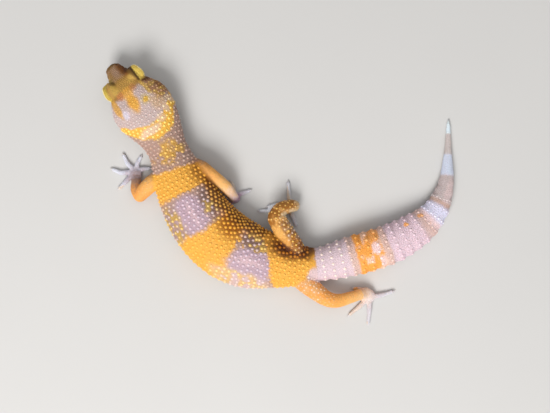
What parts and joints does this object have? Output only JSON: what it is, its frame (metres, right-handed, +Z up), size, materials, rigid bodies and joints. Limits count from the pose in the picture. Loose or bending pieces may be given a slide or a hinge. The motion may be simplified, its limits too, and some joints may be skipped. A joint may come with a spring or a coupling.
{
  "type": "leopard gecko",
  "caption": "Life-size model of a leopard gecko in mid-stride, belly and plump tail on the ground, head turned ahead and tail swept round.",
  "frame": {"origin": "on the ground at the centre of the footprint, under the middle of the box round the animal", "axes": "+Z up from the ground; +X runs from the head end towards the tail end; the head points towards -X and +Y"},
  "size_m": [0.1334, 0.1006, 0.0165],
  "materials": {
    "skin_yellow": "satin",
    "skin_lilac": "satin",
    "tail_pink": "satin",
    "digit_lilac": "satin",
    "eye": "gloss"
  },
  "bodies": {
    "root": {"head": "skin_lilac", "lower_jaw": "skin_lilac", "neck": "skin_lilac", "eye_left": "eye", "eye_right": "eye", "trunk_front": "skin_yellow", "trunk_middle": "skin_yellow", "trunk_rear": "skin_yellow", "upper_arm_left": "skin_yellow", "forearm_left": "skin_yellow", "upper_arm_right": "skin_yellow", "forearm_right": "skin_yellow", "thigh_left": "skin_yellow", "shank_left": "skin_yellow", "thigh_right": "skin_yellow", "shank_right": "skin_yellow", "hand_left": "digit_lilac", "hand_right": "digit_lilac", "foot_left": "digit_lilac", "foot_right": "digit_lilac", "tail_base": "tail_pink", "tail_middle": "tail_pink", "tail_end": "tail_pink"}
  },
  "joints": []
}
